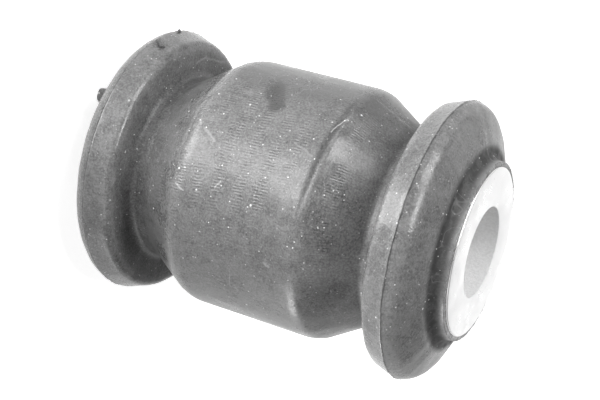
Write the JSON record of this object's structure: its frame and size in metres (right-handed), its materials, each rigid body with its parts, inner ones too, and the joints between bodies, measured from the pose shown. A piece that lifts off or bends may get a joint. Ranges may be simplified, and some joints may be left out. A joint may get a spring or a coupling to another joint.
{
  "type": "rubber metal bush",
  "caption": "Suspension arm bush: a rubber spool with a barrel between two flanges, bonded on a thick metal sleeve with a bolt bore.",
  "frame": {"origin": "centre of the sleeve's lower end face, on the bore's axis", "axes": "+Z along the bore, from the end with the moulding gate stub to the other; the stub lies 111 degrees clockwise of +X seen from +Z"},
  "size_m": [0.0372, 0.0372, 0.054],
  "materials": {
    "sleeve_metal": "bare, cut ends, fine grainy bore",
    "rubber": "moulded, satin, with fine mould lines, bloom and dust"
  },
  "bodies": {
    "root": {"inner_sleeve": "sleeve_metal", "rubber_body": "rubber"}
  },
  "joints": []
}
